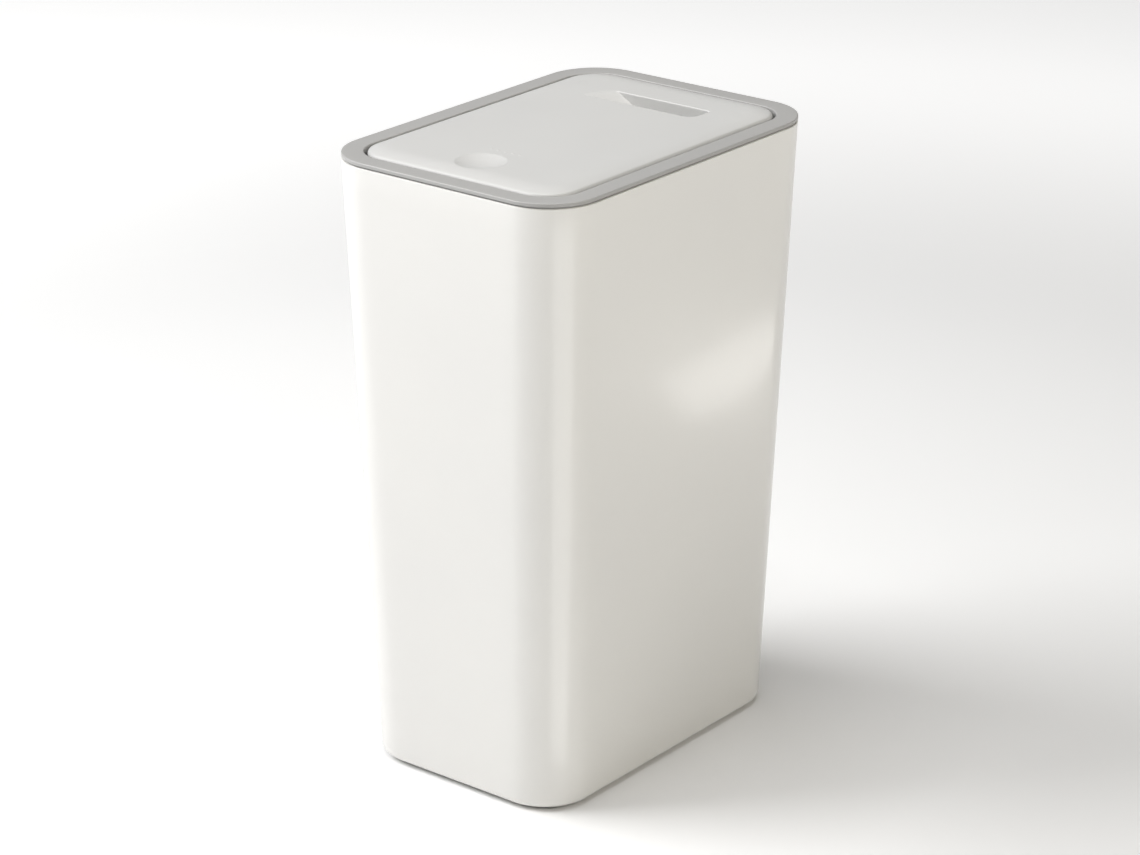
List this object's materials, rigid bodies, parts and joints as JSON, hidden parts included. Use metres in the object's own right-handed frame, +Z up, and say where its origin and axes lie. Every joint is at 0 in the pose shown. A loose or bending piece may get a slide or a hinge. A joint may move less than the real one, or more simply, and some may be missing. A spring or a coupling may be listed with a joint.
{
  "type": "press-top waste bin",
  "caption": "Slim tapered waste bin with a lift-off rim, an inset press-to-open lid with finger dimple and grip recess, a rear hinge and a push latch.",
  "frame": {"origin": "on the floor under the middle of the tub", "axes": "+Z up, -Y towards the front (the short side with the finger dimple), +X to the right seen from the front"},
  "size_m": [0.1766, 0.249, 0.3825],
  "materials": {
    "tub_white": "glossy moulded polypropylene, slightly warm white",
    "lid_white": "fine satin moulded plastic, white",
    "rim_grey": "satin moulded plastic, light warm grey",
    "collar_grey": "satin moulded plastic, light grey",
    "liner_white": "matte moulded plastic, white",
    "latch_black": "black acetal, fine matte",
    "plunger_grey": "natural grey acetal",
    "spring_steel": "bright drawn wire",
    "pin_steel": "ground steel",
    "screw_steel": "zinc plated",
    "foot_rubber": "matte grey elastomer",
    "buffer_rubber": "soft dark elastomer"
  },
  "bodies": {
    "tub": {"outer_barrel": "tub_white", "foot_front_left": "foot_rubber", "foot_front_right": "foot_rubber", "foot_rear_left": "foot_rubber", "foot_rear_right": "foot_rubber"},
    "head": {"rim_cover": "rim_grey", "rim_carrier": "collar_grey", "buffer_pads": "buffer_rubber", "latch_housing": "latch_black", "latch_follower": "pin_steel", "latch_spring": "spring_steel", "latch_screws": "screw_steel"},
    "hinge_pins": {"hinge_pin_left": "pin_steel", "hinge_pin_right": "pin_steel", "torsion_spring_left": "spring_steel", "torsion_spring_right": "spring_steel"},
    "lid": {"lid_shell": "lid_white", "lid_liner": "liner_white", "lid_screws": "screw_steel", "striker": "plunger_grey", "striker_screws": "screw_steel"},
    "plunger": {"latch_plunger": "plunger_grey"}
  },
  "joints": [
    {"name": "head_lift", "type": "slide", "parent": "tub", "child": "head", "axis": [0, 0, 1], "range_m": [0, 0.08]},
    {"name": "lid_press", "type": "slide", "parent": "head", "child": "hinge_pins", "axis": [0, 0, 1], "range_m": [-0.0027, 0], "stiffness_N_per_m": 800, "springref_m": 0.005},
    {"name": "lid_open", "type": "hinge", "parent": "hinge_pins", "child": "lid", "pos_m": [0, 0.086, 0.3735], "axis": [-1, 0, 0], "range_deg": [0, 80], "deforming": ["torsion_spring_left", "torsion_spring_right"]},
    {"name": "latch_plunge", "type": "slide", "parent": "head", "child": "plunger", "axis": [0, 0, 1], "range_m": [-0.0027, 0], "deforming": ["latch_spring"]}
  ],
  "couplings": [
    {"joint": "latch_plunge", "follows": "lid_press", "ratio": 1}
  ]
}
